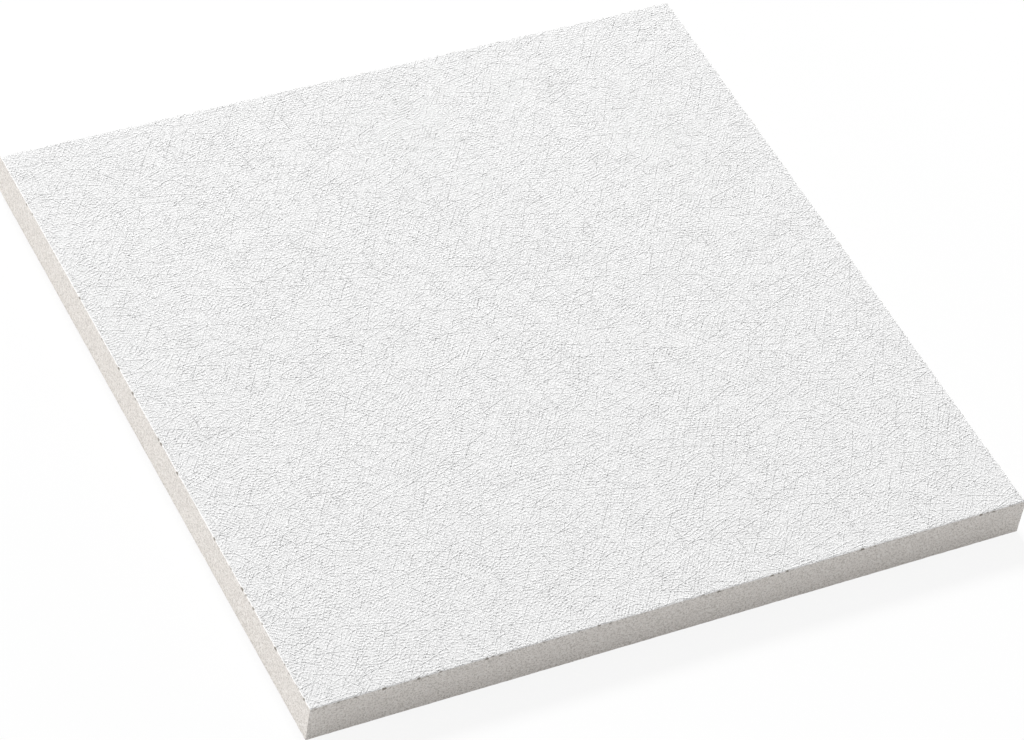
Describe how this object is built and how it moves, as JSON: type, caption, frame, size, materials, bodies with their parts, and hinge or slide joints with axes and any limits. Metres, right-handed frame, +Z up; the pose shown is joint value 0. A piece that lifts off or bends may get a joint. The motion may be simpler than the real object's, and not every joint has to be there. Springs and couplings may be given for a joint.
{
  "type": "mineral fiber ceiling tile",
  "caption": "Square flat acoustic ceiling tile of felted mineral fiber, with a white fine-textured face and plain square-cut edges.",
  "frame": {"origin": "middle of the flat back, on the surface that the tile lies on", "axes": "+Z up through the thickness, from the back to the exposed face; X and Y along the sawn edges"},
  "size_m": [0.3, 0.3, 0.017],
  "materials": {
    "mineral_fiber_board": "matte"
  },
  "bodies": {
    "root": {"ceiling_tile": "mineral_fiber_board"}
  },
  "joints": []
}
